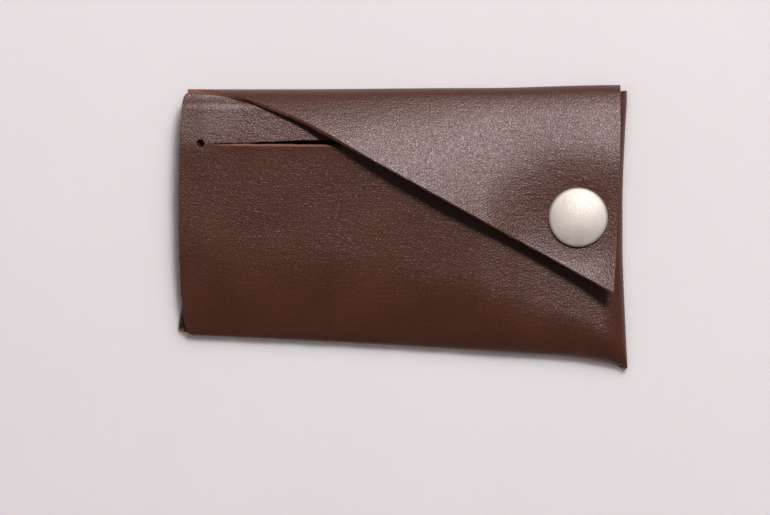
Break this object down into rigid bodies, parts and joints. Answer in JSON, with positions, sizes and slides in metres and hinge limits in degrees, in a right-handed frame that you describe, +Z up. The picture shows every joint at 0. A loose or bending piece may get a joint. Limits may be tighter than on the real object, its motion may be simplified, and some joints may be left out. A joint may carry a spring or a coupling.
{
  "type": "card wallet",
  "caption": "Small leather card wallet folded from one hide, with a diagonal flap, a thumb slit and a domed snap.",
  "frame": {"origin": "under the middle of the wallet, on the surface that it lies on", "axes": "+X along the wallet, towards the snap; +Y towards the fold that the flap hangs on; +Z up, out of the front"},
  "size_m": [0.1124, 0.07, 0.0139],
  "materials": {
    "leather": "satin, fine pebble grain",
    "cap_nickel": "satin nickel",
    "snap_steel": "bright nickel",
    "spring_wire": "drawn wire"
  },
  "bodies": {
    "wallet": {"back_panel": "leather", "left_fold": "leather", "left_tab": "leather", "right_fold": "leather", "front_panel": "leather", "bottom_fold_upper": "leather", "bottom_fold_lower": "leather", "bottom_tab": "leather", "snap_stud": "snap_steel", "stud_eyelet": "snap_steel"},
    "fold_1": {"fold_strip_1": "leather"},
    "fold_2": {"fold_strip_2": "leather"},
    "fold_3": {"fold_strip_3": "leather"},
    "flap": {"flap": "leather", "snap_cap": "cap_nickel", "snap_cap_post": "snap_steel", "snap_socket": "snap_steel", "socket_spring": "spring_wire"}
  },
  "joints": [
    {"name": "fold_bend_1", "type": "hinge", "parent": "wallet", "child": "fold_1", "pos_m": [0, 0.0321, 0.00078], "axis": [-1, 0, 0], "range_deg": [0, 40]},
    {"name": "fold_bend_2", "type": "hinge", "parent": "fold_1", "child": "fold_2", "pos_m": [0, 0.03491, 0.00479], "axis": [-1, 0, 0], "range_deg": [0, 50]},
    {"name": "fold_bend_3", "type": "hinge", "parent": "fold_2", "child": "fold_3", "pos_m": [0, 0.03364, 0.00953], "axis": [-1, 0, 0], "range_deg": [0, 50]},
    {"name": "flap_bend", "type": "hinge", "parent": "fold_3", "child": "flap", "pos_m": [0, 0.0292, 0.0116], "axis": [-1, 0, 0], "range_deg": [0, 25], "deforming": ["socket_spring"]}
  ],
  "couplings": [
    {"joint": "fold_bend_1", "follows": "fold_bend_2", "ratio": 0.8},
    {"joint": "fold_bend_3", "follows": "fold_bend_2", "ratio": 1},
    {"joint": "flap_bend", "follows": "fold_bend_2", "ratio": 0.5}
  ]
}
